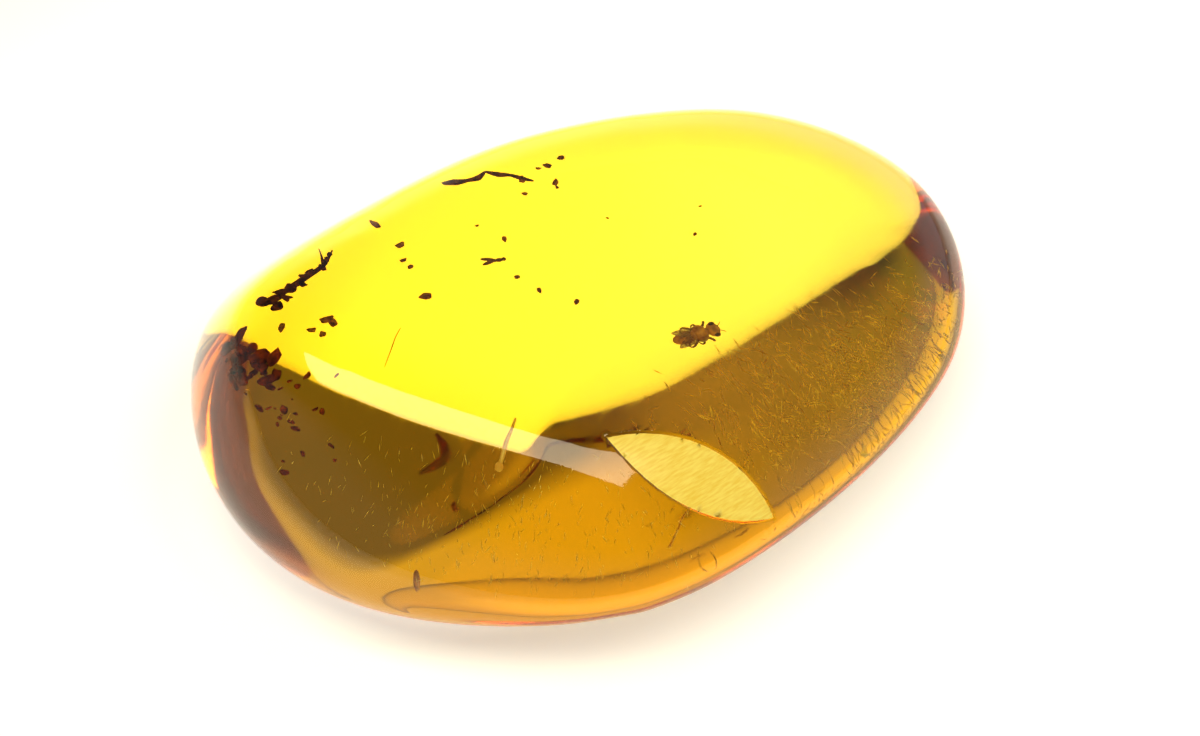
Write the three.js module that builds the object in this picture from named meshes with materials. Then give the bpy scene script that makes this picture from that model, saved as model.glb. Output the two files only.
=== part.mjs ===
// Insect in amber: the clear, tumble-polished stone as one closed solid.
// Millimetres, +Z up. The long axis runs along X, the stone rests on the ground flat at z = 0,
// and the origin is under the middle of its bounding box.
//
// The stone is a rounded polyhedron. Polishing wears a pebble towards a set of broad flats,
// and every flat is a plane at some distance from an inner centre point. Along a direction d
// the surface lies at 1 / (sum of (n . d / distance) ^ sharpness) ^ (1 / sharpness), so that
// the flats stay nearly plane in their middles and melt into each other over soft shoulders.

import * as THREE from 'three';
import { mergeVertices } from 'three/addons/utils/BufferGeometryUtils.js';

// Driving dimensions.
const CENTRE_HEIGHT = 6; // inner point that every direction starts from
const TOP_HEIGHT = 11.9; // the upper face, right above the inner point
const TOP_FALL = 10; // degrees that the upper face leans
const TOP_FALL_AZIMUTH = -26; // the way in which it leans down
const EDGE_SHARPNESS = 12; // a higher number gives tighter shoulders
const BASE_LAP = 0.4; // how much was ground off the belly to make the resting flat
const BELLY_RISE = 16; // degrees that the belly climbs away from the ground on the right side
const BELLY_RISE_AZIMUTH = -88; // the way in which it climbs
const BELLY_EDGE = -3; // where it starts to climb, along Y
const GRID = 20; // cells along each edge of the cube that carries the surface

// The ring of flats round the stone, by the azimuth that each one faces in degrees.
// reach: how far out the flat stands. girdle: the height at which it is widest.
// shoulder: how far the upper edge is set in. tuck: how far the lower edge is set in.
const SIDES = [
  { name: 'near end', azimuth: 201, reach: 26, shoulder: 5, tuck: 4, girdle: 4 },
  { name: 'left', azimuth: 165, reach: 27, shoulder: 2, tuck: 4, girdle: 4 },
  { name: 'back left corner', azimuth: 133, reach: 25, shoulder: 4, tuck: 2, girdle: 4 },
  { name: 'back', azimuth: 92, reach: 18.5, shoulder: 8, tuck: 2, girdle: 3 },
  { name: 'back far', azimuth: 68, reach: 17, shoulder: 7, tuck: 2, girdle: 3 },
  { name: 'far corner', azimuth: 35, reach: 21, shoulder: 7, tuck: 2, girdle: 3 },
  { name: 'far end', azimuth: 5, reach: 23.5, shoulder: 6, tuck: 3, girdle: 4 },
  { name: 'far right', azimuth: -33, reach: 22.5, shoulder: 7, tuck: 4, girdle: 5 },
  { name: 'right', azimuth: -66, reach: 20, shoulder: 10, tuck: 5, girdle: 4.5 },
  { name: 'front', azimuth: -88, reach: 20.5, shoulder: 6, tuck: 4, girdle: 4 },
  { name: 'near front corner', azimuth: -131, reach: 23.5, shoulder: 7, tuck: 4, girdle: 4 },
];

const centre = new THREE.Vector3(0, 0, CENTRE_HEIGHT);

/** Unit vector that points to an azimuth and an elevation in degrees. */
function direction(azimuth, elevation) {
  const around = THREE.MathUtils.degToRad(azimuth);
  const up = THREE.MathUtils.degToRad(elevation);
  return new THREE.Vector3(
    Math.cos(around) * Math.cos(up),
    Math.sin(around) * Math.cos(up),
    Math.sin(up),
  );
}

/** A flat through a point, as its normal and its distance from the inner centre. */
function flat(normal, point) {
  return { normal, distance: normal.dot(point.clone().sub(centre)) };
}

/** The upright flat of one side, with its sloping shoulder above and its tuck below. */
function sideFlats({ azimuth, reach, shoulder, tuck, girdle }) {
  const outward = direction(azimuth, 0);
  const rim = outward.clone().multiplyScalar(reach).setZ(girdle);
  const shoulderTilt = THREE.MathUtils.radToDeg(Math.atan2(shoulder, TOP_HEIGHT - girdle));
  const tuckTilt = THREE.MathUtils.radToDeg(Math.atan2(tuck, girdle));
  return [
    flat(outward, rim),
    flat(direction(azimuth, shoulderTilt), rim),
    flat(direction(azimuth, -tuckTilt), rim),
  ];
}

const flats = [
  flat(direction(TOP_FALL_AZIMUTH, 90 - TOP_FALL), new THREE.Vector3(0, 0, TOP_HEIGHT)),
  flat(direction(0, -90), new THREE.Vector3(0, 0, -BASE_LAP)),
  flat(direction(BELLY_RISE_AZIMUTH, BELLY_RISE - 90), new THREE.Vector3(0, BELLY_EDGE, 0)),
  ...SIDES.flatMap(sideFlats),
];

/** Distance from the inner centre to the surface along a unit direction. */
function radius(towards) {
  let sum = 0;
  for (const { normal, distance } of flats) {
    const share = Math.max(0, normal.dot(towards)) / distance;
    sum += share ** EDGE_SHARPNESS;
  }
  return sum ** (-1 / EDGE_SHARPNESS);
}

/** The stone's surface on a cube's grid, which has no poles and even cells. */
function stoneGeometry() {
  const box = new THREE.BoxGeometry(2, 2, 2, GRID, GRID, GRID);
  box.deleteAttribute('normal');
  box.deleteAttribute('uv');
  const geometry = mergeVertices(box);
  const position = geometry.getAttribute('position');
  const point = new THREE.Vector3();
  for (let i = 0; i < position.count; i += 1) {
    point.fromBufferAttribute(position, i);
    // Equal angles between the grid lines keep the cells even towards the cube's corners.
    point.set(
      Math.tan(point.x * Math.PI / 4),
      Math.tan(point.y * Math.PI / 4),
      Math.tan(point.z * Math.PI / 4),
    ).normalize();
    point.multiplyScalar(radius(point));
    // The belly is lapped flat: what would reach under the ground stops on it.
    if (point.z < -CENTRE_HEIGHT) {
      point.multiplyScalar(-CENTRE_HEIGHT / point.z);
    }
    position.setXYZ(i, point.x, point.y, Math.max(0, point.z + CENTRE_HEIGHT));
  }
  geometry.computeBoundingBox();
  const middle = geometry.boundingBox.getCenter(new THREE.Vector3());
  geometry.translate(-middle.x, -middle.y, 0);
  geometry.computeVertexNormals();
  return geometry;
}

const amber = new THREE.Mesh(
  stoneGeometry(),
  new THREE.MeshStandardMaterial({ color: '#d9a406', roughness: 0.05, metalness: 0 }),
);
amber.name = 'amber';

const stone = new THREE.Group();
stone.add(amber);

export default stone;
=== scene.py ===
"""Looks of an insect in amber: a clear polished stone with an insect, debris and flow marks in it.

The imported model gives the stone's body. This script smooths a copy of it, grinds a small matt
window into its front shoulder, models everything that the resin closed round, and sets up the studio.
Lengths in the classes are millimetres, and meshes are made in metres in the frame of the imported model.
"""

import logging
import math
import random
from dataclasses import dataclass, field
from enum import Enum
from typing import Callable, Sequence

import bpy
import numpy as np
from mathutils import Matrix, Vector
from mathutils.bvhtree import BVHTree


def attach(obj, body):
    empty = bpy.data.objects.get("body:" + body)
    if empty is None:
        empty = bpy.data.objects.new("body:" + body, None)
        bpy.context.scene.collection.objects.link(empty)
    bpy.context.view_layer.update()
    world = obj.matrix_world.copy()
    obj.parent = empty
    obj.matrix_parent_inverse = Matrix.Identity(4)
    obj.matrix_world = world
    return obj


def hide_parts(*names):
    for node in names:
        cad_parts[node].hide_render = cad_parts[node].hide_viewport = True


logging.basicConfig(level=logging.INFO, format="%(message)s")
LOG = logging.getLogger("amber")

MM = 0.001
BODY = "root"
STONE_NODE = "amber"
WELD = 1e-7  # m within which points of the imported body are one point
CUT_THRESHOLD = 1e-7  # m within which a cut takes a point as lying on it
WINDOW_MERGE = 5e-5  # m within which points that the window's cuts leave are one point
RAMBLE_STEPS = 4  # straight stretches in a wandering line
CRUMB_SPLITS = 3  # plane faces on a broken crumb
CRUMB_WAVES = 5  # waves that make it uneven
AMBER_REFRACTION = 1.54

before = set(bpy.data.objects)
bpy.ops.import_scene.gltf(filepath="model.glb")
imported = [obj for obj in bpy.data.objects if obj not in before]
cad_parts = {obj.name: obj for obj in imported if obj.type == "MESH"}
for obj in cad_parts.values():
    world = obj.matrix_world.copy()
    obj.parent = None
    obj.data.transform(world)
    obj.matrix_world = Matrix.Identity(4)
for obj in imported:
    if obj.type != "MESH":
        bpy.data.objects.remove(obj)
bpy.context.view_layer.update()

Point = tuple[float, float, float]

# Amber takes nearly all blue within a centimetre and a little green, which makes it yellow where it is
# thin and orange where it is thick. This is its loss of red, green and blue per metre.
RESIN_LOSS = (2.0, 27.0, 250.0)


# ---------------------------------------------------------------- helpers


def linear(code: str) -> tuple[float, float, float, float]:
    """Turns an sRGB hex colour into linear values.

    Args:
        code: The colour as "#rrggbb".

    Returns:
        Linear red, green and blue, and an alpha of 1.
    """
    values = [int(code[i : i + 2], 16) / 255 for i in (1, 3, 5)]
    flat = [v / 12.92 if v <= 0.04045 else ((v + 0.055) / 1.055) ** 2.4 for v in values]
    return (flat[0], flat[1], flat[2], 1.0)


def add_node(
    tree: bpy.types.NodeTree,
    kind: str,
    settings: dict | None = None,
    links: dict | None = None,
    stops: Sequence[tuple[float, tuple]] = (),
    feeds: bpy.types.NodeSocket | None = None,
    **props: object,
) -> bpy.types.Node:
    """Adds one node to a tree.

    Args:
        tree: The node tree.
        kind: Blender's name of the node type.
        settings: Values by input name or number.
        links: Output sockets by the input name or number that they feed.
        stops: Positions and linear colours of a colour ramp, from low to high.
        feeds: The input that the node's first output goes to.
        **props: Properties of the node itself.

    Returns:
        The new node.
    """
    node = tree.nodes.new(kind)
    for name, value in props.items():
        setattr(node, name, value)
    for name, value in (settings or {}).items():
        node.inputs[name].default_value = value
    for name, socket in (links or {}).items():
        tree.links.new(socket, node.inputs[name])
    if stops:
        elements = node.color_ramp.elements
        while len(elements) < len(stops):
            elements.new(0.5)
        for element, (position, colour) in zip(elements, stops):
            element.position = position
            element.color = colour
    if feeds is not None:
        tree.links.new(node.outputs[0], feeds)
    return node


def new_material(name: str) -> tuple[bpy.types.Material, bpy.types.NodeTree, bpy.types.Node]:
    """Makes a material.

    Args:
        name: Its name.

    Returns:
        The material, its tree and its Principled shader.
    """
    material = bpy.data.materials.new(name)
    material.use_nodes = True
    return material, material.node_tree, material.node_tree.nodes["Principled BSDF"]


def absorption(loss: Point) -> dict[str, object]:
    """Works out what gives a clear material its depth of colour.

    Args:
        loss: Absorption of red, green and blue per metre.

    Returns:
        Colour and density of a volume that absorbs this much.
    """
    density = max(loss)
    kept = tuple(1 - value / density for value in loss)
    return {"Color": (*kept, 1), "Density": density}


def mm(point: Sequence[float]) -> Vector:
    """Turns millimetres into a vector in metres."""
    return Vector(point) * MM


def deselect_all() -> None:
    """Leaves edit mode and clears the selection."""
    if bpy.context.object and bpy.context.object.mode != "OBJECT":
        bpy.ops.object.mode_set(mode="OBJECT")
    bpy.ops.object.select_all(action="DESELECT")


def pick(obj: bpy.types.Object) -> None:
    """Makes an object the only selected one and the active one.

    Args:
        obj: The object.
    """
    deselect_all()
    obj.select_set(True)
    bpy.context.view_layer.objects.active = obj


def edit_all(obj: bpy.types.Object) -> None:
    """Opens an object in edit mode with its whole mesh selected.

    Args:
        obj: The object.
    """
    pick(obj)
    bpy.ops.object.mode_set(mode="EDIT")
    bpy.ops.mesh.select_all(action="SELECT")


def end_edit() -> None:
    """Goes back to object mode."""
    bpy.ops.object.mode_set(mode="OBJECT")


def points_of(obj: bpy.types.Object) -> np.ndarray:
    """Reads the mesh points of an object.

    Args:
        obj: The object.

    Returns:
        The points in metres, one row each.
    """
    flat = np.zeros(len(obj.data.vertices) * 3)
    obj.data.vertices.foreach_get("co", flat)
    return flat.reshape(-1, 3)


def move_points(obj: bpy.types.Object, rule: Callable[[np.ndarray], np.ndarray]) -> None:
    """Moves all mesh points by a rule.

    Args:
        obj: The object.
        rule: Takes the points and returns where they go.
    """
    obj.data.vertices.foreach_set("co", rule(points_of(obj)).ravel())
    obj.data.update()


def settle(obj: bpy.types.Object) -> bpy.types.Object:
    """Puts an object's place into its mesh, turns its faces outwards and shades it smooth.

    Args:
        obj: The object.

    Returns:
        The same object.
    """
    pick(obj)
    bpy.ops.object.transform_apply(location=True, rotation=True, scale=True)
    edit_all(obj)
    bpy.ops.mesh.normals_make_consistent(inside=False)
    end_edit()
    bpy.ops.object.shade_smooth()
    return obj


def join(name: str, parts: list[bpy.types.Object]) -> bpy.types.Object:
    """Joins parts into one piece.

    Args:
        name: The name of the piece.
        parts: What it is made of.

    Returns:
        The piece.
    """
    pick(parts[0])
    for part in parts:
        part.select_set(True)
    if len(parts) > 1:
        bpy.ops.object.join()
    parts[0].name = name
    parts[0].data.name = name
    return parts[0]


def duplicate(obj: bpy.types.Object, place: Matrix) -> bpy.types.Object:
    """Copies an object with its own mesh.

    Args:
        obj: The model that is copied.
        place: Where the copy's mesh goes, in metres.

    Returns:
        The copy.
    """
    copy = obj.copy()
    copy.data = obj.data.copy()
    copy.data.transform(place)
    bpy.context.scene.collection.objects.link(copy)
    return copy


def seal(obj: bpy.types.Object, material: bpy.types.Material) -> bpy.types.Object:
    """Dresses a piece, and makes it ride with the stone.

    Args:
        obj: The piece.
        material: Its finish.

    Returns:
        The same piece.
    """
    obj.data.materials.clear()
    obj.data.materials.append(material)
    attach(obj, BODY)
    LOG.info("piece %s: %d faces", obj.name, len(obj.data.polygons))
    return obj


def heading(azimuth: float, elevation: float = 0.0) -> Vector:
    """Unit vector towards an azimuth and elevation in degrees."""
    around, up = math.radians(azimuth), math.radians(elevation)
    return Vector((math.cos(around) * math.cos(up), math.sin(around) * math.cos(up), math.sin(up)))


def ball(centre: Point, radii: Point, azimuth: float = 0.0, segments: int = 24) -> bpy.types.Object:
    """Models a closed ellipsoid.

    Args:
        centre: Its middle in millimetres.
        radii: Half its length, width and height in millimetres.
        azimuth: Where its length points, in degrees.
        segments: Faces around it.

    Returns:
        The object.
    """
    deselect_all()
    bpy.ops.mesh.primitive_uv_sphere_add(segments=segments, ring_count=segments // 2, radius=MM)
    obj = bpy.context.object
    edit_all(obj)
    bpy.ops.transform.resize(value=radii)
    end_edit()
    turn = Matrix.Rotation(math.radians(azimuth), 4, "Z")
    obj.data.transform(Matrix.Translation(mm(centre)) @ turn)
    return obj


def strand(path: Sequence[Point], widths: Sequence[float], sides: int, steps: int = 6) -> bpy.types.Object:
    """Models a closed round strand, such as a leg, a hair or a twig.

    A cylinder is cut into rings, and the rings are laid along a smooth line.

    Args:
        path: Points that the line passes, in millimetres.
        widths: Radius at each point, in millimetres.
        sides: Faces around it.
        steps: Rings between two points.

    Returns:
        The object.
    """
    deselect_all()
    bpy.ops.mesh.primitive_cylinder_add(vertices=sides, radius=1, depth=1, end_fill_type="TRIFAN")
    obj = bpy.context.object
    rings = steps * (len(path) - 1)
    bpy.ops.object.mode_set(mode="EDIT")
    bpy.ops.mesh.select_all(action="DESELECT")
    end_edit()
    for edge in obj.data.edges:
        low, high = (obj.data.vertices[i].co.z for i in edge.vertices)
        edge.select = abs(high - low) > 0.5
    bpy.ops.object.mode_set(mode="EDIT")
    bpy.ops.mesh.select_mode(type="EDGE")
    bpy.ops.mesh.subdivide(number_cuts=rings - 1)
    end_edit()
    knots = np.array([tuple(p) for p in path], float)
    stations = np.arange(len(path))

    def lay(points: np.ndarray) -> np.ndarray:
        """Lays the rings on the line.

        Args:
            points: The cylinder's points.

        Returns:
            Where they go, in metres.
        """
        along = (points[:, 2] + 0.5) * (len(path) - 1)

        def line(at: np.ndarray) -> np.ndarray:
            """Follows the smooth line through the knots.

            Args:
                at: How far along, counted in knots.

            Returns:
                The points there, in millimetres.
            """
            low = np.clip(np.floor(at).astype(int), 0, len(knots) - 2)
            share = (at - low)[:, None]
            before = knots[np.maximum(low - 1, 0)]
            start, stop = knots[low], knots[low + 1]
            after = knots[np.minimum(low + 2, len(knots) - 1)]
            return 0.5 * (
                2 * start
                + (stop - before) * share
                + (2 * before - 5 * start + 4 * stop - after) * share**2
                + (3 * start - before - 3 * stop + after) * share**3
            )

        spine = line(along)
        last, near = len(knots) - 1, 0.02
        ahead = line(np.minimum(along + near, last)) - line(np.maximum(along - near, 0))
        ahead /= np.linalg.norm(ahead, axis=1, keepdims=True)
        # The rings are turned by one guide, which no strand runs along, so that they don't twist.
        guide = np.array((0.31, 0.22, 0.93))
        across = np.cross(ahead, guide)
        across /= np.linalg.norm(across, axis=1, keepdims=True)
        upward = np.cross(across, ahead)
        radius = np.interp(along, stations, widths)[:, None]
        return (spine + radius * (across * points[:, :1] + upward * points[:, 1:2])) * MM

    move_points(obj, lay)
    return obj


def crumb(size: Point, seed: int, roughness: float, detail: int) -> bpy.types.Object:
    """Models an irregular broken crumb about the origin.

    Args:
        size: Half its length, width and height in millimetres.
        seed: Start of the random order.
        roughness: How uneven it is, as a share of its size.
        detail: How often the primitive is divided.

    Returns:
        The object.
    """
    dice = random.Random(seed)
    deselect_all()
    bpy.ops.mesh.primitive_ico_sphere_add(subdivisions=detail, radius=1)
    obj = bpy.context.object
    edit_all(obj)
    for _ in range(CRUMB_SPLITS):
        # A broken piece has a few plane faces where it split.
        bpy.ops.mesh.select_all(action="SELECT")
        normal = heading(dice.uniform(0, 360), dice.uniform(-60, 60))
        place = normal * dice.uniform(0.55, 0.8)
        bpy.ops.mesh.bisect(plane_co=place, plane_no=normal, use_fill=True, clear_outer=True)
    bpy.ops.mesh.select_all(action="SELECT")
    bpy.ops.mesh.quads_convert_to_tris()
    end_edit()
    waves = []
    for _ in range(CRUMB_WAVES):
        way = heading(dice.uniform(0, 360), dice.uniform(-80, 80))
        waves.append((way, dice.uniform(2, 5), dice.uniform(0, 6)))

    def roughen(points: np.ndarray) -> np.ndarray:
        """Pushes the surface in and out in broad uneven waves.

        Args:
            points: The crumb's points on a ball of radius 1.

        Returns:
            Where they go, in metres.
        """
        push = np.zeros(len(points))
        for direction, pace, start in waves:
            push += np.sin(points @ np.array(direction) * pace + start)
        return points * (1 + roughness * push / len(waves))[:, None] * np.array(size) * MM

    move_points(obj, roughen)
    return obj


def ramble(
    start: Point, azimuth: float, elevation: float, length: float, kink: float, seed: int
) -> list[Point]:
    """Lays out a nearly straight line that wanders a little at every knot.

    Args:
        start: Where it starts, in millimetres.
        azimuth: Where it runs, in degrees.
        elevation: How far it climbs, in degrees.
        length: Its length in millimetres.
        kink: How far it may turn at a knot, in degrees.
        seed: Start of the random order.

    Returns:
        Its five knots.
    """
    dice = random.Random(seed)
    knots = [Vector(start)]
    for _ in range(RAMBLE_STEPS):
        way = heading(azimuth + dice.uniform(-kink, kink), elevation + dice.uniform(-kink, kink) / 2)
        knots.append(knots[-1] + way * (length / RAMBLE_STEPS))
    return [tuple(knot) for knot in knots]


def tumble(dice: random.Random, tilt: float) -> Matrix:
    """Draws a turn for a crumb: any way round, and tilted either way by up to some radians.

    Args:
        dice: The random source.
        tilt: The most it may tilt.

    Returns:
        The turn.
    """
    around = Matrix.Rotation(dice.uniform(0, math.tau), 4, "Z")
    return around @ Matrix.Rotation(dice.uniform(-tilt, tilt), 4, "Y")


# ---------------------------------------------------------------- finishes


@dataclass(frozen=True)
class PolishedResin:
    """Fossil tree resin with a hand polish: clear, deep gold where it is thick, faintly waved by the polish."""

    polish_wave: float = 7.0  # mm from one faint polishing wave to the next
    wave_strength: float = 0.02
    haze_width: float = 0.35  # mm across a stroke of haze, about
    haze_slimness: float = 0.15  # that width as a share of the stroke's length
    haze_squeeze: float = 6.0  # how much finer the haze is across the strokes than along them
    gloss: float = 0.03  # roughness where the polish is full
    haze: float = 0.09  # roughness in the haze
    name: str = "amber_polished_resin"

    def make(self) -> bpy.types.Material:
        """Makes the material."""
        material, tree, shader = new_material(self.name)
        shader.inputs["Base Color"].default_value = (1, 1, 1, 1)
        shader.inputs["Transmission Weight"].default_value = 1.0
        shader.inputs["IOR"].default_value = AMBER_REFRACTION
        place = add_node(tree, "ShaderNodeTexCoord").outputs["Object"]
        # Hand polish leaves broad, very shallow waves that bend the edges of what is seen through them.
        wave = {"Scale": 1 / (self.polish_wave * MM), "Detail": 1.0}
        waves = add_node(tree, "ShaderNodeTexNoise", wave, {"Vector": place})
        add_node(
            tree,
            "ShaderNodeBump",
            {"Strength": self.wave_strength, "Distance": MM},
            {"Height": waves.outputs["Fac"]},
            feeds=shader.inputs["Normal"],
        )
        # The last cloth leaves strokes of fine haze between patches of full gloss.
        squeeze = {"Rotation": (0.2, 0.1, 0.5), "Scale": (1, self.haze_squeeze, 1)}
        turned = add_node(tree, "ShaderNodeMapping", squeeze, {"Vector": place}).outputs["Vector"]
        stroke = {"Scale": self.haze_slimness / (self.haze_width * MM), "Detail": 5.0}
        strokes = add_node(tree, "ShaderNodeTexNoise", stroke, {"Vector": turned})
        add_node(
            tree,
            "ShaderNodeMapRange",
            {"From Min": 0.45, "From Max": 0.75, "To Min": self.gloss, "To Max": self.haze},
            {"Value": strokes.outputs["Fac"]},
            feeds=shader.inputs["Roughness"],
        )
        depth = tree.nodes["Material Output"].inputs["Volume"]
        add_node(tree, "ShaderNodeVolumeAbsorption", absorption(RESIN_LOSS), feeds=depth)
        return material


@dataclass(frozen=True)
class GroundFace:
    """Amber ground flat and left unpolished: pale satin yellow, because the scratches scatter the light."""

    colour: str = "#ffe768"
    shade: str = "#f6d24a"
    roughness: float = 0.38
    wear: float = 0.1  # how far the roughness swings either way
    clearness: float = 0.1
    grit: float = 0.12  # mm between grinding scratches
    slimness: float = 0.15  # width of a scratch as a share of its length
    depth: float = 0.02  # mm
    strength: float = 0.15

    def make(self) -> bpy.types.Material:
        """Makes the material."""
        material, tree, shader = new_material("amber_ground_face")
        shader.inputs["Transmission Weight"].default_value = self.clearness
        shader.inputs["IOR"].default_value = AMBER_REFRACTION
        place = add_node(tree, "ShaderNodeTexCoord").outputs["Object"]
        # The grit ran one way, so the scratches are long along the stone's X axis.
        squeeze = {"Rotation": (0, 0.6, 0.75), "Scale": (self.slimness, 1, 1)}
        turned = add_node(tree, "ShaderNodeMapping", squeeze, {"Vector": place}).outputs["Vector"]
        scratch = {"Scale": 1 / (self.grit * MM), "Detail": 3.0}
        scratches = add_node(tree, "ShaderNodeTexNoise", scratch, {"Vector": turned}).outputs["Fac"]
        add_node(
            tree,
            "ShaderNodeValToRGB",
            links={"Fac": scratches},
            stops=[(0.35, linear(self.shade)), (0.65, linear(self.colour))],
            feeds=shader.inputs["Base Color"],
        )
        relief = {"Strength": self.strength, "Distance": self.depth * MM}
        add_node(tree, "ShaderNodeBump", relief, {"Height": scratches}, feeds=shader.inputs["Normal"])
        add_node(
            tree,
            "ShaderNodeMapRange",
            {"To Min": self.roughness - self.wear, "To Max": self.roughness + self.wear},
            {"Value": scratches},
            feeds=shader.inputs["Roughness"],
        )
        depth = tree.nodes["Material Output"].inputs["Volume"]
        add_node(tree, "ShaderNodeVolumeAbsorption", absorption(RESIN_LOSS), feeds=depth)
        return material


@dataclass(frozen=True)
class OrganicMatter:
    """Old organic matter, such as bark, shell or leaf crumbs: two browns in patches over a pitted grain."""

    name: str
    dark: str
    light: str
    patch: float  # mm from one patch of colour to the next
    grain: float  # mm from one fibre or pit to the next
    roughness: float = 0.6
    wear: float = 0.12  # how far the roughness swings either way
    depth: float = 0.05  # mm
    strength: float = 0.35
    shine: float = 0.5

    def make(self) -> bpy.types.Material:
        """Makes the material."""
        material, tree, shader = new_material(self.name)
        shader.inputs["Specular IOR Level"].default_value = self.shine
        place = add_node(tree, "ShaderNodeTexCoord").outputs["Object"]
        patch = {"Scale": 1 / (self.patch * MM), "Detail": 4.0}
        patches = add_node(tree, "ShaderNodeTexNoise", patch, {"Vector": place}).outputs["Fac"]
        add_node(
            tree,
            "ShaderNodeValToRGB",
            links={"Fac": patches},
            stops=[(0.35, linear(self.dark)), (0.68, linear(self.light))],
            feeds=shader.inputs["Base Color"],
        )
        pit = {"Scale": 1 / (self.grain * MM), "Detail": 3.0}
        pits = add_node(tree, "ShaderNodeTexNoise", pit, {"Vector": place}).outputs["Fac"]
        relief = {"Strength": self.strength, "Distance": self.depth * MM}
        add_node(tree, "ShaderNodeBump", relief, {"Height": pits}, feeds=shader.inputs["Normal"])
        add_node(
            tree,
            "ShaderNodeMapRange",
            {"To Min": self.roughness - self.wear, "To Max": self.roughness + self.wear},
            {"Value": pits},
            feeds=shader.inputs["Roughness"],
        )
        return material


@dataclass(frozen=True)
class WingMembrane:
    """Insect wing: a clear brown membrane with darker veins, thin enough to see through."""

    name: str = "wing_membrane"
    membrane: str = "#a8742c"
    vein: str = "#3a2009"
    vein_gap: float = 0.16  # mm between veins
    vein_edge: tuple[float, float] = (0.02, 0.09)  # where a vein ends and where the membrane starts
    clearness: float = 0.55
    roughness: float = 0.35

    def make(self) -> bpy.types.Material:
        """Makes the material."""
        material, tree, shader = new_material(self.name)
        shader.inputs["Roughness"].default_value = self.roughness
        place = add_node(tree, "ShaderNodeTexCoord").outputs["Object"]
        cells = add_node(
            tree,
            "ShaderNodeTexVoronoi",
            {"Scale": 1 / (self.vein_gap * MM)},
            {"Vector": place},
            feature="DISTANCE_TO_EDGE",
        ).outputs["Distance"]
        ends, starts = self.vein_edge
        add_node(
            tree,
            "ShaderNodeValToRGB",
            links={"Fac": cells},
            stops=[(ends, linear(self.vein)), (starts, linear(self.membrane))],
            feeds=shader.inputs["Base Color"],
        )
        add_node(
            tree,
            "ShaderNodeMapRange",
            {"From Min": ends, "From Max": starts, "To Min": 1.0, "To Max": 1 - self.clearness},
            {"Value": cells},
            feeds=shader.inputs["Alpha"],
        )
        return material


@dataclass(frozen=True)
class PaleResin:
    """Paler resin and the walls of healed cracks: a light gold that scatters, with slow cloudy bands."""

    name: str
    pale: str
    deep: str
    band: float  # mm from one cloudy band to the next
    roughness: float = 0.3
    wear: float = 0.1  # how far the roughness swings either way

    def make(self) -> bpy.types.Material:
        """Makes the material."""
        material, tree, shader = new_material(self.name)
        place = add_node(tree, "ShaderNodeTexCoord").outputs["Object"]
        band = {"Scale": 1 / (self.band * MM), "Detail": 2.0}
        bands = add_node(tree, "ShaderNodeTexNoise", band, {"Vector": place}).outputs["Fac"]
        add_node(
            tree,
            "ShaderNodeValToRGB",
            links={"Fac": bands},
            stops=[(0.35, linear(self.deep)), (0.65, linear(self.pale))],
            feeds=shader.inputs["Base Color"],
        )
        add_node(
            tree,
            "ShaderNodeMapRange",
            {"To Min": self.roughness - self.wear, "To Max": self.roughness + self.wear},
            {"Value": bands},
            feeds=shader.inputs["Roughness"],
        )
        return material


@dataclass(frozen=True)
class Paper:
    """Uncoated white paper: matt, with a barely uneven tooth, and a painted glow, a pool of light that it gives
    off under the stone.
    """

    colour: str = "#f4f4f1"
    roughness: float = 0.9
    tooth: float = 0.4  # mm from one bump of the tooth to the next
    tooth_depth: float = 0.05  # mm
    tooth_strength: float = 0.03
    painted_glow_middle: Point = (0.0, 4.0, 0.0)  # middle of the painted glow under the stone, in mm
    painted_glow_reach: Point = (20.0, 14.0, 1.0)  # how far the painted glow reaches, in mm
    painted_glow: float = 1.2  # painted light that the paper gives off in the middle of the pool
    painted_glow_around: float = 0.33  # share of that painted glow round about, before it fades out
    painted_glow_span: float = 6.0  # how many times that reach the fade runs over
    painted_glow_fade: tuple[float, ...] = (0.11, 0.2, 0.5, 0.8)  # full up to, then that share between, then gone

    def make(self) -> bpy.types.Material:
        """Makes the material."""
        material, tree, shader = new_material("matt_paper")
        shader.inputs["Specular IOR Level"].default_value = 0.0
        shader.inputs["Roughness"].default_value = self.roughness
        shader.inputs["Base Color"].default_value = linear(self.colour)
        # Painted light: the paper itself glows in a pool under the stone, with no lamp behind it, so the stone
        # is lit from below.
        shader.inputs["Emission Strength"].default_value = self.painted_glow
        place = add_node(tree, "ShaderNodeTexCoord").outputs["Object"]
        reach = {"Location": mm(self.painted_glow_middle), "Scale": tuple(r * MM for r in self.painted_glow_reach)}
        pool = add_node(tree, "ShaderNodeMapping", reach, {"Vector": place}, vector_type="TEXTURE")
        away = add_node(tree, "ShaderNodeVectorMath", links={0: pool.outputs["Vector"]}, operation="LENGTH")
        fade = add_node(
            tree, "ShaderNodeMath", {1: self.painted_glow_span}, {0: away.outputs["Value"]}, operation="DIVIDE"
        )
        around = (self.painted_glow_around,) * 3 + (1,)
        add_node(
            tree,
            "ShaderNodeValToRGB",
            links={"Fac": fade.outputs["Value"]},
            stops=list(zip(self.painted_glow_fade, ((1, 1, 1, 1), around, around, (0, 0, 0, 1)))),
            feeds=shader.inputs["Emission Color"],
        )
        tooth = add_node(tree, "ShaderNodeTexNoise", {"Scale": 1 / (self.tooth * MM)}, {"Vector": place})
        relief = {"Strength": self.tooth_strength, "Distance": self.tooth_depth * MM}
        add_node(
            tree, "ShaderNodeBump", relief, {"Height": tooth.outputs["Fac"]}, feeds=shader.inputs["Normal"]
        )
        return material


# ---------------------------------------------------------------- stone


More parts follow.
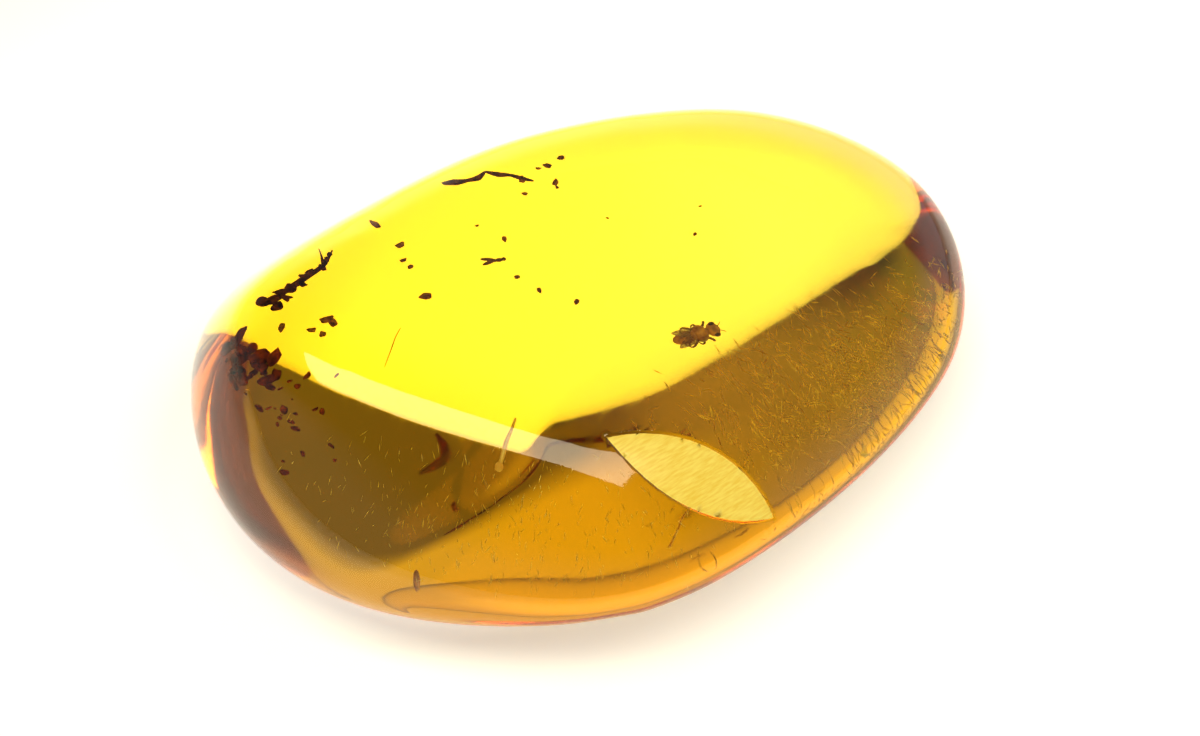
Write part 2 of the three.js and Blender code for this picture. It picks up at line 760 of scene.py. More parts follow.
@dataclass
class Stone:
    """The clear polished stone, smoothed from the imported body, with a small window ground into it."""

    smoothing: int = 2  # times that every face is divided
    window_place: Point = (-4.5, -14.0, 10.0)  # middle of the window
    window_azimuth: float = -85.0
    window_elevation: float = 50.0
    window_run: tuple[float, float] = (-44.0, -31.0)  # azimuth and elevation of its length
    window_long: float = 5.2  # half its length
    window_wide: float = 1.8  # half its width
    window_sides: int = 14  # straight cuts along each of its two long edges
    window_reach: float = 7.0  # how far round its middle the surface is looked at
    window_facing: float = 0.3  # least cosine between a face there and the way the window faces
    rim_width: float = 0.12
    window_sink: float = 0.09  # depth of the window under its rim
    window_slack: float = 0.6  # how far past an edge that isn't cut yet a face still counts
    finish: PolishedResin = PolishedResin()
    window_finish: GroundFace = GroundFace()
    piece: bpy.types.Object | None = None
    tree: BVHTree | None = None
    window_faces: list[int] = field(default_factory=list)

    def build(self) -> None:
        """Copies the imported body, smooths it and cuts the window."""
        deselect_all()
        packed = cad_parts[STONE_NODE]
        obj = bpy.data.objects.new("amber_stone", packed.data.copy())
        bpy.context.scene.collection.objects.link(obj)
        edit_all(obj)
        bpy.ops.mesh.remove_doubles(threshold=WELD)
        bpy.ops.mesh.tris_convert_to_quads(face_threshold=math.pi, shape_threshold=math.pi)
        bpy.ops.mesh.normals_make_consistent(inside=False)
        end_edit()
        smooth = obj.modifiers.new("smooth", "SUBSURF")
        smooth.levels = smooth.render_levels = self.smoothing
        bpy.ops.object.modifier_apply(modifier=smooth.name)
        self.shade(obj)
        self.cut_window(obj)
        self.piece = obj
        self.tree = BVHTree.FromObject(obj, bpy.context.evaluated_depsgraph_get())

    def shade(self, obj: bpy.types.Object) -> None:
        """Clears what the import left on the mesh, and shades it smooth.

        Args:
            obj: The stone.
        """
        pick(obj)
        bpy.ops.object.shade_smooth()
        if obj.data.has_custom_normals:
            bpy.ops.mesh.customdata_custom_splitnormals_clear()

    def window_edges(self) -> list[tuple[Vector, Vector]]:
        """Lays out the lens outline as planes that stand on the surface.

        Returns:
            A point on each plane and its normal, which points out of the window.
        """
        out = heading(self.window_azimuth, self.window_elevation)
        run = heading(*self.window_run)
        run = (run - out * run.dot(out)).normalized()
        side = out.cross(run)
        middle = mm(self.window_place)
        # Each long edge is an arc of one radius, and the two arcs meet in a point at both ends.
        radius = (self.window_long**2 + self.window_wide**2) / (2 * self.window_wide)
        spread = math.asin(self.window_long / radius)
        planes = []
        for sign in (-1, 1):
            hub = middle - side * sign * (radius - self.window_wide) * MM
            for step in range(self.window_sides):
                turn = spread * (2 * step / (self.window_sides - 1) - 1)
                normal = side * sign * math.cos(turn) + run * math.sin(turn)
                planes.append((hub + normal * radius * MM, normal))
        return planes

    def cut_window(self, obj: bpy.types.Object) -> None:
        """Grinds the window: splits the surface along a lens outline, and sinks the inside below its rim.

        Args:
            obj: The stone.
        """
        planes = self.window_edges()
        for done, (place, normal) in enumerate(planes):
            self.select_window(obj, self.inside_window(obj, planes, done))
            # The operator's own threshold is far coarser than the faces here, so it is made fine.
            bpy.ops.mesh.bisect(plane_co=place, plane_no=normal, threshold=CUT_THRESHOLD)
            end_edit()
        # Cuts that pass close to a corner of the mesh leave slivers, and fewer of them turn over in the
        # inset once the points that lie close together are merged.
        self.select_window(obj, self.inside_window(obj, planes, len(planes)))
        bpy.ops.mesh.remove_doubles(threshold=WINDOW_MERGE)
        end_edit()
        self.select_window(obj, self.inside_window(obj, planes, len(planes)))
        bpy.ops.mesh.inset(thickness=self.rim_width * MM, depth=-self.window_sink * MM, use_even_offset=True)
        end_edit()
        self.window_faces = [face.index for face in obj.data.polygons if face.select]
        sides: dict[tuple[int, int], int] = {}
        for face in obj.data.polygons:
            face.use_smooth = True
        for index in self.window_faces:
            for key in obj.data.polygons[index].edge_keys:
                sides[key] = sides.get(key, 0) + 1
        # The floor of the window meets its rim in a crisp line.
        for edge in obj.data.edges:
            edge.use_edge_sharp = sides.get(edge.key, 0) == 1
        area = sum(obj.data.polygons[i].area for i in self.window_faces) / MM**2
        LOG.info("window: %d faces, %.1f mm2", len(self.window_faces), area)

    def inside_window(
        self, obj: bpy.types.Object, planes: list[tuple[Vector, Vector]], done: int
    ) -> list[bool]:
        """Tells for every face whether its middle lies inside the lens outline.

        Args:
            obj: The stone.
            planes: The edges of the outline.
            done: How many of them the faces are already split along.

        Returns:
            One answer for each face.
        """
        out = heading(self.window_azimuth, self.window_elevation)
        middle = mm(self.window_place)
        limits = [0.0 if number < done else self.window_slack * MM for number in range(len(planes))]
        kept = []
        for face in obj.data.polygons:
            near = (face.center - middle).length < self.window_reach * MM
            facing = face.normal.dot(out) > self.window_facing
            past = ((face.center - place).dot(normal) for place, normal in planes)
            kept.append(near and facing and all(gap < limit for gap, limit in zip(past, limits)))
        return kept

    def select_window(self, obj: bpy.types.Object, chosen: list[bool]) -> None:
        """Opens the stone in edit mode with only the chosen faces selected.

        Args:
            obj: The stone.
            chosen: One answer for each face.
        """
        edit_all(obj)
        bpy.ops.mesh.select_mode(type="FACE")
        bpy.ops.mesh.select_all(action="DESELECT")
        end_edit()
        for face, keep in zip(obj.data.polygons, chosen):
            face.select = keep
        bpy.ops.object.mode_set(mode="EDIT")

    def dress(self) -> None:
        """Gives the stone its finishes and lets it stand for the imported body."""
        seal(self.piece, self.finish.make())
        self.piece.data.materials.append(self.window_finish.make())
        second = len(self.piece.data.materials) - 1
        for index in self.window_faces:
            self.piece.data.polygons[index].material_index = second
        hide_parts(STONE_NODE)

    def wall(self, origin: Point, direction: Vector) -> tuple[Vector, Vector] | None:
        """Finds where a line meets the stone from outside.

        Args:
            origin: Start in millimetres.
            direction: Where the line goes.

        Returns:
            The point in millimetres and the outward normal, or None.
        """
        hit, normal, _, _ = self.tree.ray_cast(mm(origin), direction)
        return None if hit is None else (hit / MM, normal)

    def holds(self, point: Vector, margin: float) -> bool:
        """Tells whether a point in millimetres lies inside, at least a margin under the surface."""
        near, normal, _, distance = self.tree.find_nearest(point * MM)
        return (near - point * MM).dot(normal) > 0 and distance > margin * MM


# ---------------------------------------------------------------- insect


@dataclass
class Insect:
    """A small two-winged insect that lies half turned in the stone, its head towards the far end."""

    place: Point = (2.0, -5.5, 7.5)
    azimuth: float = -14.0
    pitch: float = 7.0
    roll: float = 24.0
    seam_start: float = 0.55  # cosine from which a seam draws in
    taper: float = 0.12  # how much the tail narrows
    wing: Point = (0.82, 0.3, 0.012)  # half its length, width and thickness
    wing_taper: float = 0.35  # how much it narrows towards its tip
    wing_root: Point = (-0.62, 0.26, 0.36)
    wing_spread: float = 17.0  # degrees
    wing_tilt: float = 14.0  # degrees
    pieces: list[bpy.types.Object] = field(default_factory=list)

    def lay(self, part: bpy.types.Object) -> bpy.types.Object:
        """Moves a part from the insect's own frame to its place in the stone.

        Args:
            part: The part.

        Returns:
            The same part.
        """
        turn = Matrix.Rotation(math.radians(self.azimuth), 4, "Z")
        turn = turn @ Matrix.Rotation(math.radians(-self.pitch), 4, "Y")
        roll = Matrix.Rotation(math.radians(self.roll), 4, "X")
        part.data.transform(Matrix.Translation(mm(self.place)) @ turn @ roll)
        return part

    def segmented(self, centre: Point, radii: Point, rings: int, depth: float) -> bpy.types.Object:
        """Models an ellipsoid with plate seams round it, such as an abdomen.

        Args:
            centre: Its middle in millimetres.
            radii: Half its length, width and height in millimetres.
            rings: Seams along half its length.
            depth: How far a seam draws in, as a share of the width.

        Returns:
            The part.
        """
        part = ball((0, 0, 0), radii, segments=36)

        def groove(points: np.ndarray) -> np.ndarray:
            """Draws the rings in at the seams and tapers the tail.

            Args:
                points: The ellipsoid's points.

            Returns:
                Where they go.
            """
            share = points[:, 0] / (radii[0] * MM)
            seams = np.clip(np.cos(share * math.pi * rings), self.seam_start, 1)
            narrow = 1 - depth * seams + self.taper * share
            return points * np.stack([np.ones_like(narrow), narrow, narrow], 1)

        move_points(part, groove)
        part.data.transform(Matrix.Translation(mm(centre)))
        return part

    def build_body(self) -> None:
        """Builds the head, the eyes, the thorax and the ringed abdomen."""
        mouth = [(1.1, 0, -0.12), (1.22, 0, -0.3), (1.16, 0, -0.44)]
        parts = [
            self.segmented((-0.86, 0, -0.06), (0.7, 0.46, 0.38), rings=6, depth=0.16),
            self.segmented((0.02, 0, 0.08), (0.5, 0.58, 0.5), rings=2, depth=0.08),
            ball((-0.28, 0, 0.3), (0.22, 0.3, 0.2)),
            ball((0.86, 0, 0.04), (0.38, 0.46, 0.38)),
            ball((0.5, 0, 0.04), (0.16, 0.24, 0.22)),
            strand(mouth, [0.08, 0.05, 0.015], sides=6, steps=3),
        ]
        self.pieces.append(self.lay(settle(join("insect_body", parts))))
        eyes = [ball((0.92, side * 0.33, 0.12), (0.21, 0.17, 0.24), 20 * side) for side in (-1, 1)]
        self.pieces.append(self.lay(settle(join("insect_eyes", eyes))))

    def build_limbs(self) -> None:
        """Builds six jointed legs and two curved antennae."""
        legs = []
        for side in (-1, 1):
            for root, knee, foot in ((0.3, 0.6, 0.5), (0.05, 0.02, -0.3), (-0.15, -0.55, -1.0)):
                # The legs are drawn in under the body, as in an insect that dried before the resin set.
                path = [
                    (root, side * 0.3, -0.25),
                    (knee, side * 0.6, -0.2),
                    (knee + (foot - knee) * 0.5, side * 0.62, -0.5),
                    (foot, side * 0.36, -0.62),
                ]
                legs.append(strand(path, [0.09, 0.07, 0.05, 0.015], sides=6, steps=4))
        self.pieces.append(self.lay(settle(join("insect_legs", legs))))
        feelers = []
        for side in (-1, 1):
            path = [
                (1.15, side * 0.12, 0.16),
                (1.3, side * 0.2, 0.3),
                (1.42, side * 0.3, 0.24),
                (1.48, side * 0.36, 0.1),
            ]
            feelers.append(strand(path, [0.03, 0.024, 0.018, 0.008], sides=6, steps=4))
        self.pieces.append(self.lay(settle(join("insect_antennae", feelers))))

    def narrow_blade(self, points: np.ndarray) -> np.ndarray:
        """Narrows a wing towards its tip.

        Args:
            points: The wing's points.

        Returns:
            Where they go.
        """
        whole = np.ones(len(points))
        narrow = 1 - self.wing_taper * points[:, 0] / (self.wing[0] * MM)
        return points * np.stack([whole, narrow, whole], 1)

    def build_wings(self) -> None:
        """Builds two folded wings as thin closed blades."""
        blades = []
        for side in (-1, 1):
            blade = ball((0, 0, 0), self.wing, segments=28)
            move_points(blade, self.narrow_blade)
            turn = Matrix.Rotation(math.radians(180 - side * self.wing_spread), 4, "Z")
            turn = turn @ Matrix.Rotation(math.radians(side * self.wing_tilt), 4, "X")
            back, out, high = self.wing_root
            blade.data.transform(Matrix.Translation(mm((back, side * out, high))) @ turn)
            blades.append(blade)
        self.pieces.append(self.lay(settle(join("insect_wings", blades))))

    def dress(self) -> None:
        """Gives each piece its finish."""
        # Chitin stays brown and a little glossy, so the body reads as a solid shape in the clear resin.
        finishes = {
            "insect_body": OrganicMatter(
                "chitin_plates", "#6e441a", "#c8943c", patch=0.45, grain=0.06, roughness=0.4
            ),
            "insect_eyes": OrganicMatter(
                "compound_eye", "#2a1505", "#5f350b", patch=0.3, grain=0.04, roughness=0.3
            ),
            "insect_legs": OrganicMatter(
                "leg_chitin", "#5a3510", "#96641e", patch=0.3, grain=0.05, roughness=0.4
            ),
            "insect_antennae": OrganicMatter(
                "antenna_chitin", "#2c1604", "#5f350b", patch=0.2, grain=0.05, roughness=0.45
            ),
            "insect_wings": WingMembrane(),
        }
        for piece in self.pieces:
            seal(piece, finishes[piece.name].make())

    def build(self) -> None:
        """Builds the whole insect."""
        self.build_body()
        self.build_limbs()
        self.build_wings()


# ---------------------------------------------------------------- plant debris and crumbs


@dataclass(frozen=True)
class Cloud:
    """A loose cloud of crumbs: where it lies, how far it spreads and how long its crumbs are, in mm."""

    middle: Point
    spread: Point
    count: int
    length: tuple[float, float]
    seed: int
    cover: float = 0.35  # resin that is left over every crumb

    def places(self, stone: Stone) -> list[tuple[Vector, float]]:
        """Draws a place and a length for every crumb.

        Args:
            stone: The stone that has to hold them.

        Returns:
            Places in millimetres with the lengths.
        """
        dice = random.Random(self.seed)
        found = []
        while len(found) < self.count:
            offset = Vector([dice.gauss(0, 0.5) * reach for reach in self.spread])
            length = dice.uniform(*self.length)
            if stone.holds(Vector(self.middle) + offset, self.cover + length / 2):
                found.append((Vector(self.middle) + offset, length))
        return found


@dataclass
class PlantDebris:
    """Bark, bast and twigs that the resin ran over: a mass at the near end, a ragged strip and two twigs."""

    stone: Stone
    bark: Cloud = Cloud((-18.0, 5.5, 10.5), (0.8, 1.4, 1.4), 34, (0.35, 0.9), 11, 0.1)
    flakes: Cloud = Cloud((-17.5, 2.5, 9.5), (1.8, 2.5, 2.0), 26, (0.2, 0.6), 20, 0.1)
    twig_start: Point = (-3.0, 10.0, 9.5)
    twig_azimuths: tuple[float, float] = (-5.0, -45.0)
    twig_length: float = 2.6
    twig_widths: tuple[float, ...] = (0.07, 0.19, 0.11, 0.17, 0.05)  # radius at each knot
    twig_kink: float = 24.0  # degrees
    twig_seed: int = 60
    strip_start: Point = (-16.5, 6.5, 12.5)
    strip_azimuth: float = 18.0
    strip_length: float = 5.0
    strip_crumbs: int = 30
    strip_fray: Point = (0.3, 0.35, 0.1)  # how far a crumb may lie off the fibre
    strip_crowding: float = 1.3  # over 1, the crumbs crowd at the near end
    crumb_roughness: float = 0.5
    crumb_tilt: float = 0.7  # radians
    pieces: list[tuple[bpy.types.Object, OrganicMatter]] = field(default_factory=list)

    def build_twigs(self) -> None:
        """Builds the two thin bent twigs near the back, the second from the end of the first."""
        start, twigs = self.twig_start, []
        for number, azimuth in enumerate(self.twig_azimuths):
            path = ramble(start, azimuth, -4, self.twig_length, self.twig_kink, self.twig_seed + number)
            # Knots and joints make a twig uneven, so its radius changes from point to point.
            twigs.append(strand(path, self.twig_widths, sides=9))
            start = path[-1]
        piece = settle(join("bent_twigs", twigs))
        # Twig bark is dark, with a fine grain and hardly any gloss.
        bark = OrganicMatter("twig_bark", "#241004", "#6b3c0c", patch=0.5, grain=0.08, shine=0.2)
        self.pieces.append((piece, bark))

    def heap(
        self, spots: list[tuple[Vector, float]], seed: int, flatness: float, detail: int
    ) -> list[bpy.types.Object]:
        """Models overlapping broken crumbs.

        Args:
            spots: Place and length of each crumb, in millimetres.
            seed: Start of the random order.
            flatness: Thickness as a share of the length.
            detail: How finely the crumbs are divided.

        Returns:
            The crumbs.
        """
        dice = random.Random(seed)
        parts = []
        for number, (place, length) in enumerate(spots):
            size = (length / 2, length * dice.uniform(0.2, 0.4), length * flatness / 2)
            part = crumb(size, seed + number, self.crumb_roughness, detail)
            part.data.transform(Matrix.Translation(place * MM) @ tumble(dice, self.crumb_tilt))
            parts.append(part)
        return parts

    def build_bark(self) -> None:
        """Builds the dark bark mass at the near end, and the rusty flakes that came off it."""
        mass = self.heap(self.bark.places(self.stone), self.bark.seed, flatness=0.7, detail=3)
        # Rotten bark is matt and a dark red-brown in uneven patches.
        matter = OrganicMatter(
            "old_bark", "#1e0700", "#7a3208", patch=0.5, grain=0.1, roughness=0.95, shine=0.0
        )
        self.pieces.append((settle(join("bark_mass", mass)), matter))
        chips = self.heap(self.flakes.places(self.stone), self.flakes.seed, flatness=0.25, detail=2)
        rust = OrganicMatter(
            "rusty_bark", "#3a1402", "#8a3f0a", patch=0.5, grain=0.1, roughness=0.9, shine=0.0
        )
        self.pieces.append((settle(join("rusty_flakes", chips)), rust))

    def build_strip(self) -> None:
        """Builds the ragged strip of bast: torn crumbs along a fibre that forks at its end."""
        path = ramble(self.strip_start, self.strip_azimuth, 2, self.strip_length, kink=16, seed=51)
        spine = strand(path, [0.06, 0.17, 0.18, 0.13, 0.03], sides=9)
        branch = ramble(path[-2], self.strip_azimuth + 35, 2, self.strip_length / 4, kink=10, seed=52)
        fork = strand(branch, [0.1, 0.08, 0.06, 0.04, 0.02], sides=7)
        dice = random.Random(53)
        spots = []
        for number in range(self.strip_crumbs):
            # The crumbs crowd at the near end and thin out towards the fork.
            share = (number / self.strip_crumbs) ** self.strip_crowding
            low = min(int(share * RAMBLE_STEPS), RAMBLE_STEPS - 1)
            place = Vector(path[low]).lerp(Vector(path[low + 1]), share * RAMBLE_STEPS - low)
            place += Vector([dice.uniform(-fray, fray) for fray in self.strip_fray]) * (1.2 - share)
            spots.append((place, dice.uniform(0.3, 0.75) * (1.1 - share * 0.6)))
        torn = self.heap(spots, seed=54, flatness=0.3, detail=3)
        strip = settle(join("bast_strip", [*torn, spine, fork]))
        bast = OrganicMatter(
            "bast", "#1a0802", "#5a2c08", patch=0.4, grain=0.08, roughness=0.9, shine=0.05
        )
        self.pieces.append((strip, bast))

    def build(self) -> None:
        """Builds all the debris."""
        self.build_twigs()
        self.build_bark()
        self.build_strip()

    def dress(self) -> None:
        """Gives each piece its finish."""
        for piece, finish in self.pieces:
            seal(piece, finish.make())


@dataclass
class Specks:
    """Loose crumbs, and one very small winged fly, that hang in the clear part of the stone."""

    stone: Stone
    clouds: tuple[Cloud, ...] = (
        Cloud((-9.0, 5.5, 11.0), (1.5, 5.0, 0.8), 5, (0.35, 0.7), 31),  # left of the middle
        Cloud((-16.0, 4.0, 12.0), (1.5, 1.5, 0.6), 5, (0.4, 0.75), 32),  # over the near end
        Cloud((-2.5, 3.5, 9.5), (2.5, 4.0, 0.6), 5, (0.25, 0.5), 33),  # middle
        Cloud((2.5, 8.5, 9.0), (2.5, 1.5, 0.6), 6, (0.25, 0.6), 34),  # beside the twigs
        Cloud((6.5, 5.0, 8.0), (4.0, 4.0, 1.0), 4, (0.15, 0.35), 35),  # far half
    )
    crumb_tilt: float = 0.6  # radians
    fly_place: Point = (-4.5, 3.5, 10.5)
    fly_azimuth: float = -20.0
    piece: bpy.types.Object | None = None
    fly: bpy.types.Object | None = None

    def build(self) -> None:
        """Builds the crumbs and the fly."""
        dice = random.Random(30)
        model = crumb((0.5, 0.32, 0.25), seed=31, roughness=0.6, detail=3)
        copies = []
        for cloud in self.clouds:
            for place, length in cloud.places(self.stone):
                turn = tumble(dice, self.crumb_tilt)
                lay = Matrix.Translation(place * MM) @ turn @ Matrix.Scale(length, 4)
                copies.append(duplicate(model, lay))
        bpy.data.objects.remove(model)
        self.piece = settle(join("loose_crumbs", copies))
        self.build_fly()

    def build_fly(self) -> None:
        """Builds the small fly: a stout body and a pair of blades behind it."""
        body = [
            ball((0.18, 0, 0), (0.22, 0.14, 0.13)),
            ball((0.45, 0, 0.02), (0.14, 0.13, 0.12)),
            ball((-0.1, 0, 0), (0.26, 0.11, 0.1)),
        ]
        blades = [ball((-0.4, side * 0.12, 0.1), (0.42, 0.13, 0.012), 180 - side * 16) for side in (-1, 1)]
        fly = settle(join("small_fly", body + blades))
        turn = Matrix.Rotation(math.radians(self.fly_azimuth), 4, "Z")
        fly.data.transform(Matrix.Translation(mm(self.fly_place)) @ turn)
        self.fly = fly

    def dress(self) -> None:
        """Gives the crumbs and the fly their finishes."""
        plant = OrganicMatter("plant_crumb", "#4a2606", "#9a6416", patch=0.3, grain=0.06, shine=0.2)
        chitin = OrganicMatter("fly_chitin", "#2c1604", "#6e4010", patch=0.2, grain=0.04, roughness=0.4)
        seal(self.piece, plant.make())
        seal(self.fly, chitin.make())


# ---------------------------------------------------------------- resin threads and flow marks


@dataclass
class ResinThreads:
    """Marks of the flowing resin: a drawn-out tube with a bulb, a fine thread, a hair and a soft smear."""

    tube_start: Point = (-10.5, -6.5, 11.5)
    thread_start: Point = (-5.5, -14.0, 8.0)
    hair_start: Point = (-12.0, 1.5, 12.0)
    smear_place: Point = (-17.5, -7.5, 5.5)
    pieces: list[tuple[bpy.types.Object, bpy.types.Material]] = field(default_factory=list)

    def build(self) -> None:
        """Builds the tube, the thread, the hair and the smear."""
        # A drawn resin tube scatters light, so that it stands out pale before the deep gold behind it.
        gold = PaleResin("drawn_resin", "#f3d98a", "#d8a83c", band=0.8).make()
        route = ramble(self.tube_start, azimuth=-150, elevation=-40, length=2.3, kink=8, seed=71)
        tube = strand(route, [0.05, 0.09, 0.12, 0.12, 0.1], sides=10)
        bulb = ball(route[-1], (0.22, 0.22, 0.26))
        self.pieces.append((settle(join("resin_tube", [tube, bulb])), gold))
        route = ramble(self.thread_start, azimuth=195, elevation=-40, length=2.0, kink=10, seed=72)
        thread = settle(join("resin_thread", [strand(route, [0.03, 0.05, 0.05, 0.06, 0.07], sides=7)]))
        self.pieces.append((thread, PaleResin("fine_thread", "#f0c860", "#c98a20", band=0.5).make()))
        route = ramble(self.hair_start, azimuth=-142, elevation=0, length=2.6, kink=12, seed=73)
        hair = settle(join("plant_hair", [strand(route, [0.02, 0.03, 0.03, 0.025, 0.015], sides=6)]))
        # A plant hair is one brown fibre.
        fibre = OrganicMatter("plant_fibre", "#4a2808", "#94601a", patch=0.3, grain=0.05)
        self.pieces.append((hair, fibre.make()))
        smear = settle(join("cloudy_smear", [ball(self.smear_place, (0.1, 0.25, 0.7))]))
        self.pieces.append((smear, PaleResin("cloudy_resin", "#c98a2c", "#8a5512", band=0.4).make()))

    def dress(self) -> None:
        """Gives each piece its finish."""
        for piece, material in self.pieces:
            seal(piece, material)


class Zone(Enum):
    """Where a field of flow marks lies."""

    BELLY = "belly"
    FRONT = "front"


@dataclass
class FlowMarks:
    """Fields of fine slivers: healed cracks over the rising belly, and drawn flow marks in the front wall."""

    stone: Stone
    zone: Zone
    count: int
    seed: int
    reach: tuple[float, float]  # how far under the surface, in mm
    length: tuple[float, float]  # mm
    width: float  # mm
    x_range: tuple[float, float]
    across: tuple[float, float]  # Y on the belly, height on the front wall
    scatter: float  # degrees either side of the common direction
    cover: float = 0.1  # mm of resin that is left over every sliver
    unevenness: tuple[float, float] = (0.6, 1.4)  # how the width varies
    flatness: float = 0.5  # thickness as a share of the width
    under: float = -5.0  # height that the belly is looked for from
    before: tuple[float, float] = (-25.0, -40.0)  # where the front wall is looked for from
    inward: Point = (0.53, 0.85, 0.0)  # the way in through the front wall
    piece: bpy.types.Object | None = None

    def sliver(self) -> bpy.types.Object:
        """Models one sliver, a millimetre long and wide, and pointed at both ends."""
        return strand([(-0.5, 0, 0), (0, 0, 0), (0.5, 0, 0)], [0.02, 0.5, 0.02], sides=5, steps=2)

    def spot(self, dice: random.Random) -> tuple[Vector, Vector] | None:
        """Draws one place for a sliver.

        Args:
            dice: The random source.

        Returns:
            A point under the surface in millimetres and the outward normal there, or None.
        """
        # Most marks lie in the middle of the field, so that it thins out without an edge.
        x, other = dice.triangular(*self.x_range), dice.triangular(*self.across)
        if self.zone is Zone.BELLY:
            found = self.stone.wall((x, other, self.under), Vector((0, 0, 1)))
        else:
            found = self.stone.wall((x + self.before[0], self.before[1], other), Vector(self.inward))
        if found is None:
            return None
        place, normal = found
        inner = place - normal * dice.uniform(*self.reach)
        return (inner, normal) if self.stone.holds(inner, self.cover) else None

    def build(self) -> None:
        """Scatters the slivers."""
        dice = random.Random(self.seed)
        model = self.sliver()
        copies = []
        while len(copies) < self.count:
            found = self.spot(dice)
            size, lean = dice.uniform(*self.length), math.radians(dice.gauss(0, self.scatter))
            if found is None:
                continue
            inner, normal = found
            # The slivers lie along the surface: across the stone on the belly, upright in the front wall.
            along = Vector((0, 1, 0)) - normal * normal.y
            if self.zone is Zone.FRONT:
                along = Vector((0, 0, 1)) - normal * normal.z
            along = Matrix.Rotation(lean, 3, normal) @ along.normalized()
            tips = [inner + along * size * end for end in (-0.5, 0.5)]
            if not all(self.stone.holds(tip, self.cover) for tip in tips):
                continue
            side = normal.cross(along).normalized()
            turn = Matrix((along, side, normal)).transposed().to_4x4()
            wide = self.width * dice.uniform(*self.unevenness)
            shape = Matrix.Diagonal((size, wide, self.width * self.flatness, 1))
            copies.append(duplicate(model, Matrix.Translation(inner * MM) @ turn @ shape))
        bpy.data.objects.remove(model)
        self.piece = settle(join(f"flow_marks_{self.zone.value}", copies))

    def dress(self) -> None:
        """Gives the slivers their finish."""
        # The walls of a healed crack scatter light, so that each sliver glints pale gold.
        finish = PaleResin(f"healed_crack_{self.zone.value}", "#f4e488", "#b89a30", band=1.5)
        seal(self.piece, finish.make())


# ---------------------------------------------------------------- studio


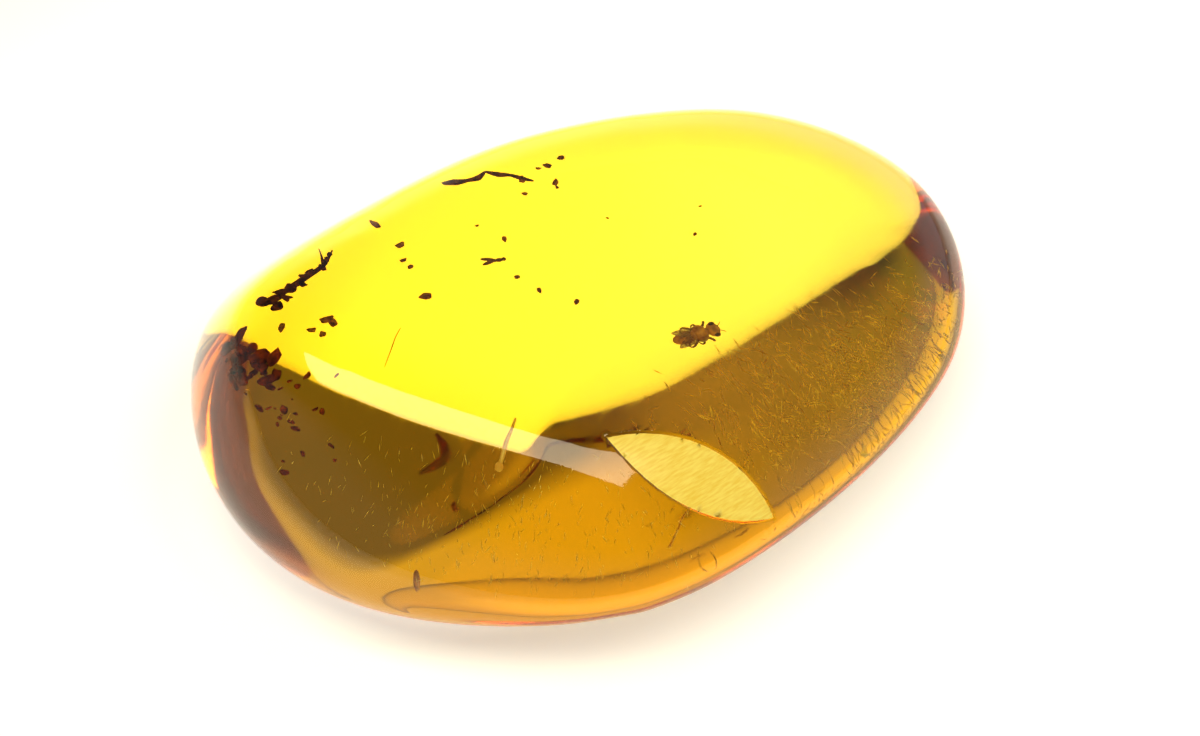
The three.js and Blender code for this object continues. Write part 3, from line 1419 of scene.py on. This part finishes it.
@dataclass
class Studio:
    """White paper, one large soft light high up, a room with one bright side and a camera."""

    floor_size: float = 4.0  # m
    floor_gap: float = 0.00002  # m between the paper and the stone, so that their faces don't fight
    light_azimuth: float = -115.0
    light_elevation: float = 74.0
    light_distance: float = 0.6  # m
    light_long: float = 0.6  # m
    light_short: float = 0.36  # m
    light_turn: float = -20.0  # degrees that its length is turned off the way from left to right
    light_radiance: float = 5.7
    light_colour: Point = (1.0, 0.93, 0.7)
    light_aim: Point = (0.0, 0.0, 5.0)  # mm
    low_room: float = 0.8
    high_room: float = 0.2
    room_heights: tuple[float, float] = (0.28, 0.45)  # sine of the elevation: bright up to, dim from
    bright_azimuth: float = 12.0  # where the bright side of the room is
    bright_edge: tuple[float, float] = (0.35, 0.65)  # cosines off it: dark up to, bright from
    dark_side: float = 0.35  # share of that light on the other sides
    camera_azimuth: float = -38.0
    camera_elevation: float = 46.0
    camera_distance: float = 180.0  # mm
    camera_aim: Point = (-1.4, -1.9, 6.0)
    camera_lens: float = 100.0

    def build_floor(self) -> None:
        """Lays the paper."""
        deselect_all()
        bpy.ops.mesh.primitive_plane_add(size=self.floor_size, location=(0, 0, -self.floor_gap))
        paper = bpy.context.object
        paper.name = "paper"
        bpy.ops.object.transform_apply(location=True)
        paper.data.materials.append(Paper().make())

    def build_room(self) -> None:
        """Sets the room: bright up to a low height, dim above it."""
        world = bpy.data.worlds.new("room")
        bpy.context.scene.world = world
        world.use_nodes = True
        tree = world.node_tree
        way = add_node(tree, "ShaderNodeTexCoord").outputs["Generated"]
        height = add_node(tree, "ShaderNodeSeparateXYZ", links={"Vector": way}).outputs["Z"]
        walls = tree.nodes["Background"].inputs
        shades = [(value,) * 3 + (1,) for value in (self.low_room, self.high_room)]
        add_node(
            tree,
            "ShaderNodeValToRGB",
            links={"Fac": height},
            stops=list(zip(self.room_heights, shades)),
            feeds=walls["Color"],
        )
        # Only one side of the room is bright, so that the stone's front doesn't mirror a pale film.
        away = heading(self.bright_azimuth)
        facing = add_node(tree, "ShaderNodeVectorMath", {1: away}, {0: way}, operation="DOT_PRODUCT")
        dark_to, bright_from = self.bright_edge
        add_node(
            tree,
            "ShaderNodeMapRange",
            {"From Min": dark_to, "From Max": bright_from, "To Min": self.dark_side, "To Max": 1.0},
            {"Value": facing.outputs["Value"]},
            feeds=walls["Strength"],
        )

    def build_light(self) -> None:
        """Hangs the soft light."""
        way = heading(self.light_azimuth, self.light_elevation)
        lamp = bpy.data.lights.new("soft_light", "AREA")
        lamp.shape = "RECTANGLE"
        lamp.size = self.light_long
        lamp.size_y = self.light_short
        lamp.color = self.light_colour
        lamp.energy = self.light_radiance * math.pi * self.light_long * self.light_short
        obj = bpy.data.objects.new("soft_light", lamp)
        bpy.context.scene.collection.objects.link(obj)
        obj.location = way * self.light_distance + mm(self.light_aim)
        along = Matrix.Rotation(math.radians(self.light_turn), 3, way) @ heading(self.camera_azimuth)
        side = way.cross(along).normalized()
        obj.rotation_euler = Matrix((side.cross(way), side, way)).transposed().to_euler()

    def build_camera(self) -> None:
        """Puts up the camera."""
        around, up = math.radians(self.camera_azimuth), math.radians(self.camera_elevation)
        back = Vector((math.sin(around) * math.cos(up), -math.cos(around) * math.cos(up), math.sin(up)))
        camera = bpy.data.cameras.new("camera")
        camera.lens = self.camera_lens
        camera.clip_start = 0.01
        obj = bpy.data.objects.new("camera", camera)
        bpy.context.scene.collection.objects.link(obj)
        obj.location = mm(self.camera_aim) + back * self.camera_distance * MM
        obj.rotation_euler = back.to_track_quat("Z", "Y").to_euler()
        bpy.context.scene.camera = obj

    def build(self) -> None:
        """Sets up the whole studio."""
        scene = bpy.context.scene
        scene.view_settings.view_transform = "Standard"
        # Light passes several walls of the stone before it leaves it.
        scene.cycles.max_bounces = 24
        scene.cycles.transmission_bounces = 24
        scene.cycles.glossy_bounces = 12
        scene.cycles.transparent_max_bounces = 24
        scene.cycles.blur_glossy = 0.5
        self.build_floor()
        self.build_room()
        self.build_light()
        self.build_camera()


# ---------------------------------------------------------------- assembly


def main() -> None:
    """Builds the studio, the stone and everything that is sealed in it."""
    Studio().build()
    stone = Stone()
    stone.build()
    stone.dress()
    belly = FlowMarks(
        stone,
        Zone.BELLY,
        count=1000,
        seed=7,
        reach=(0.3, 2.0),
        length=(0.3, 1.0),
        width=0.07,
        x_range=(-4.0, 24.0),
        across=(-12.5, -4.0),
        scatter=32.0,
    )
    front = FlowMarks(
        stone,
        Zone.FRONT,
        count=420,
        seed=8,
        reach=(0.3, 3.5),
        length=(0.15, 0.6),
        width=0.035,
        x_range=(-23.0, 9.0),
        across=(5.5, 12.5),
        scatter=22.0,
    )
    for part in (Insect(), PlantDebris(stone), Specks(stone), ResinThreads(), belly, front):
        part.build()
        part.dress()


if __name__ == "__main__":
    main()
